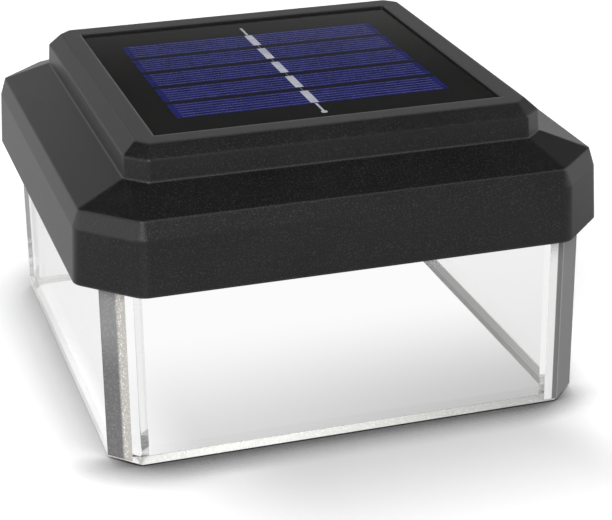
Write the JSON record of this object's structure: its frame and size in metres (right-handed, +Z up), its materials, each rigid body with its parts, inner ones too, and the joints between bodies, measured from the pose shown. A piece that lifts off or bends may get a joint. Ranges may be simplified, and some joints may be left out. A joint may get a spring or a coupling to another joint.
{
  "type": "solar fence post cap light",
  "caption": "Square solar light with a stepped black cap over a thick clear base that slips onto a fence post.",
  "frame": {"origin": "centre of the clear base's bottom rim, where it would stand on a flat surface", "axes": "+Z up towards the solar panel, +X to the light's right and +Y to its back, -Y being its front; the battery door's hinge is on the +Y side"},
  "size_m": [0.13, 0.13, 0.0755],
  "materials": {
    "clear_acrylic": "thick clear moulded acrylic with textured corners",
    "black_housing": "fine-grained satin black ABS",
    "panel_sealant": "soft pale sealing bead",
    "panel_board": "near-black glass-fibre board",
    "solar_cell": "deep blue polycrystalline silicon",
    "tinned_tab": "tinned copper ribbon",
    "panel_cover": "clear poured epoxy, glossy",
    "black_tray": "moulded black ABS",
    "gasket_rubber": "black silicone",
    "screw_steel": "zinc-plated steel",
    "cell_wrap": "heat-shrink sleeve, plain green",
    "contact_metal": "nickel-plated spring strip",
    "circuit_board": "green solder mask",
    "components": "moulded component bodies",
    "switch_body": "moulded switch case",
    "switch_knob": "pale moulded knob",
    "wire_jacket": "PVC insulation",
    "light_bar": "white solder mask on a narrow board",
    "led_lens": "amber phosphor in a white lamp body"
  },
  "bodies": {
    "base": {"clear_base": "clear_acrylic"},
    "head": {"top_housing": "black_housing", "panel_sealant": "panel_sealant", "panel_board": "panel_board", "solar_cells": "solar_cell", "cell_tabs": "tinned_tab", "panel_cover": "panel_cover", "bottom_tray": "black_tray", "housing_gasket": "gasket_rubber", "tray_screws": "screw_steel", "rechargeable_cell": "cell_wrap", "contact_positive": "contact_metal", "contact_negative": "contact_metal", "door_hinge_pin": "screw_steel", "circuit_board": "circuit_board", "board_screws": "screw_steel", "board_components": "components", "switch_body": "switch_body", "panel_leads": "wire_jacket", "battery_leads": "wire_jacket", "led_leads": "wire_jacket", "light_bar_front": "light_bar", "light_bar_right": "light_bar", "light_bar_back": "light_bar", "light_bar_left": "light_bar", "leds_front": "led_lens", "leds_right": "led_lens", "leds_back": "led_lens", "leds_left": "led_lens"},
    "battery_door": {"battery_door": "black_tray"},
    "switch": {"switch_slider": "switch_knob"}
  },
  "joints": [
    {"name": "head_lift", "type": "slide", "parent": "base", "child": "head", "axis": [0, 0, 1], "range_m": [0, 0.04]},
    {"name": "door_hinge", "type": "hinge", "parent": "head", "child": "battery_door", "pos_m": [0, 0.0298, 0.0485], "axis": [1, 0, 0], "range_deg": [0, 100]},
    {"name": "switch_slide", "type": "slide", "parent": "head", "child": "switch", "axis": [1, 0, 0], "range_m": [0, 0.0025]}
  ]
}
